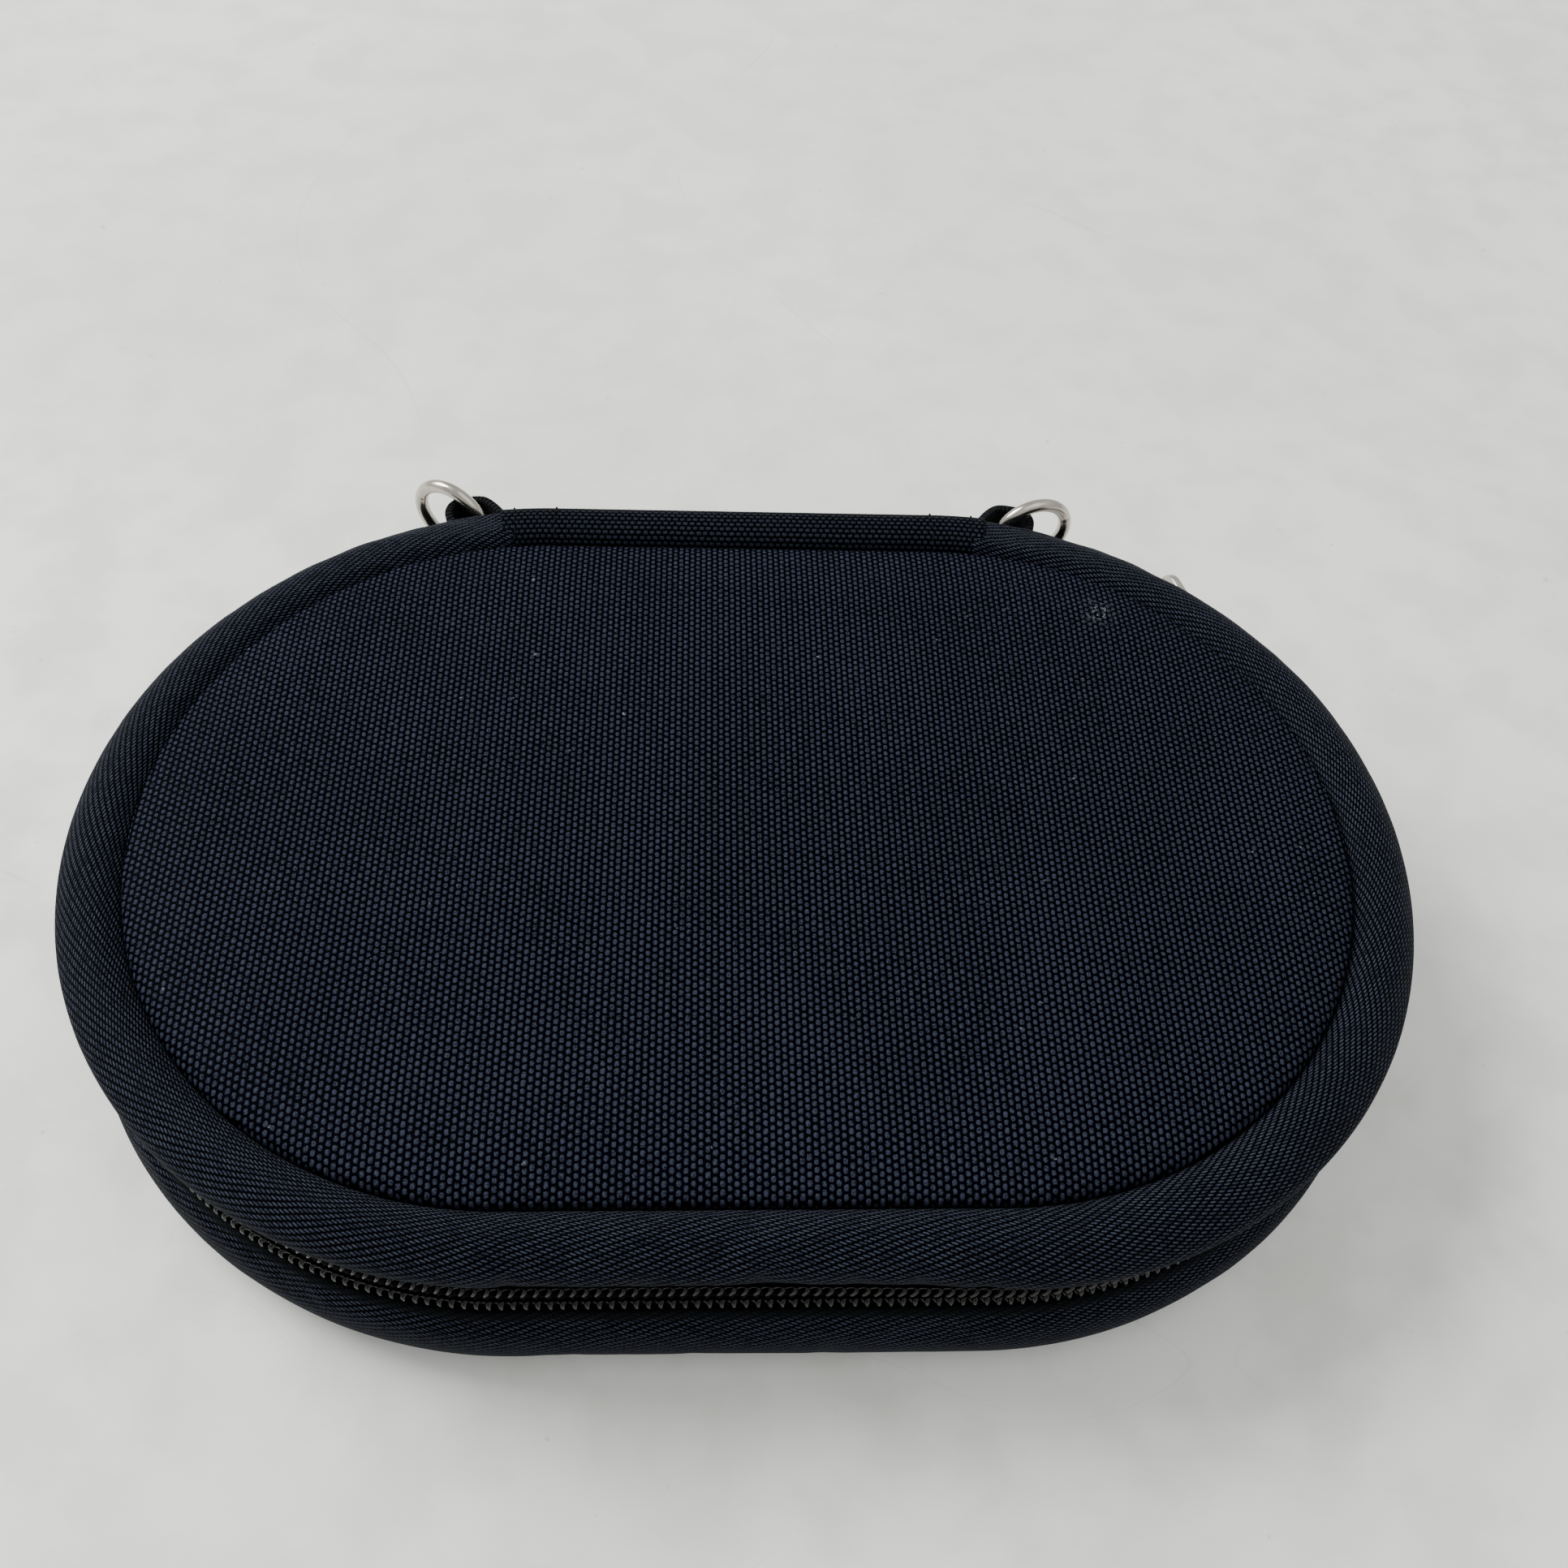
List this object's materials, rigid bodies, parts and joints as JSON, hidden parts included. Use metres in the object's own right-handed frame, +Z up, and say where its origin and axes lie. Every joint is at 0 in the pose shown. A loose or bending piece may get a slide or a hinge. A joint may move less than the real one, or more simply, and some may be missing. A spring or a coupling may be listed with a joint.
{
  "type": "headphone carrying case",
  "caption": "Oval padded clamshell carrying case for headphones, with a coil zip round the rim, a fabric hinge and two wire rings in webbing loops.",
  "frame": {"origin": "middle of the flat of the base panel, on the surface that the case lies on", "axes": "+X along the case, +Y towards the fabric hinge, +Z up through the lid"},
  "size_m": [0.19, 0.1374, 0.036],
  "materials": {
    "panel_fabric": "coarse oxford weave, blue-black, matt",
    "rim_twill": "fine herringbone twill, near black, soft sheen",
    "stiffener_board": "matt sheet",
    "padding_foam": "closed-cell foam",
    "lining_fabric": "brushed knit, black",
    "binding_tape": "ribbed binding tape, black",
    "zip_tape": "woven tape, black",
    "zip_coil": "black nylon monofilament",
    "pocket_mesh": "open knitted mesh, black",
    "zip_metal": "nickel plated, slightly worn",
    "webbing": "woven webbing, black",
    "ring_nickel": "polished nickel wire"
  },
  "bodies": {
    "base": {"base_panel": "panel_fabric", "base_hinge_strip": "panel_fabric", "base_rim": "rim_twill", "base_board": "stiffener_board", "base_foam": "padding_foam", "base_wall_foam": "padding_foam", "base_lining": "lining_fabric", "base_binding": "binding_tape", "base_zip_tape": "zip_tape", "base_zip_coil": "zip_coil"},
    "lid": {"lid_panel": "panel_fabric", "lid_hinge_strip": "panel_fabric", "lid_rim": "rim_twill", "lid_board": "stiffener_board", "lid_foam": "padding_foam", "lid_wall_foam": "padding_foam", "lid_lining": "lining_fabric", "lid_binding": "binding_tape", "lid_zip_tape": "zip_tape", "lid_zip_coil": "zip_coil", "lid_pocket": "pocket_mesh", "pocket_elastic": "binding_tape", "left_loop": "webbing", "right_loop": "webbing"},
    "slider": {"zip_slider": "zip_metal"},
    "pull": {"zip_pull": "zip_metal"},
    "left_ring": {"left_ring": "ring_nickel"},
    "right_ring": {"right_ring": "ring_nickel"}
  },
  "joints": [
    {"name": "lid_open", "type": "hinge", "parent": "base", "child": "lid", "pos_m": [0, 0.0665, 0.02], "axis": [-1, 0, 0], "range_deg": [0, 110]},
    {"name": "zip_travel", "type": "hinge", "parent": "base", "child": "slider", "pos_m": [0.031, 0, 0.02], "axis": [0, 0, 1], "range_deg": [-132, 5]},
    {"name": "pull_swing", "type": "hinge", "parent": "slider", "child": "pull", "pos_m": [0.07919, 0.04339, 0.02], "axis": [0, 0, -1], "range_deg": [-12, 130]},
    {"name": "left_ring_swing", "type": "hinge", "parent": "lid", "child": "left_ring", "pos_m": [-0.04326, 0.06584, 0.024], "axis": [0, 0, -1], "range_deg": [-25, 30]},
    {"name": "right_ring_swing", "type": "hinge", "parent": "lid", "child": "right_ring", "pos_m": [0.04326, 0.06584, 0.024], "axis": [0, 0, 1], "range_deg": [-12, 43]}
  ]
}
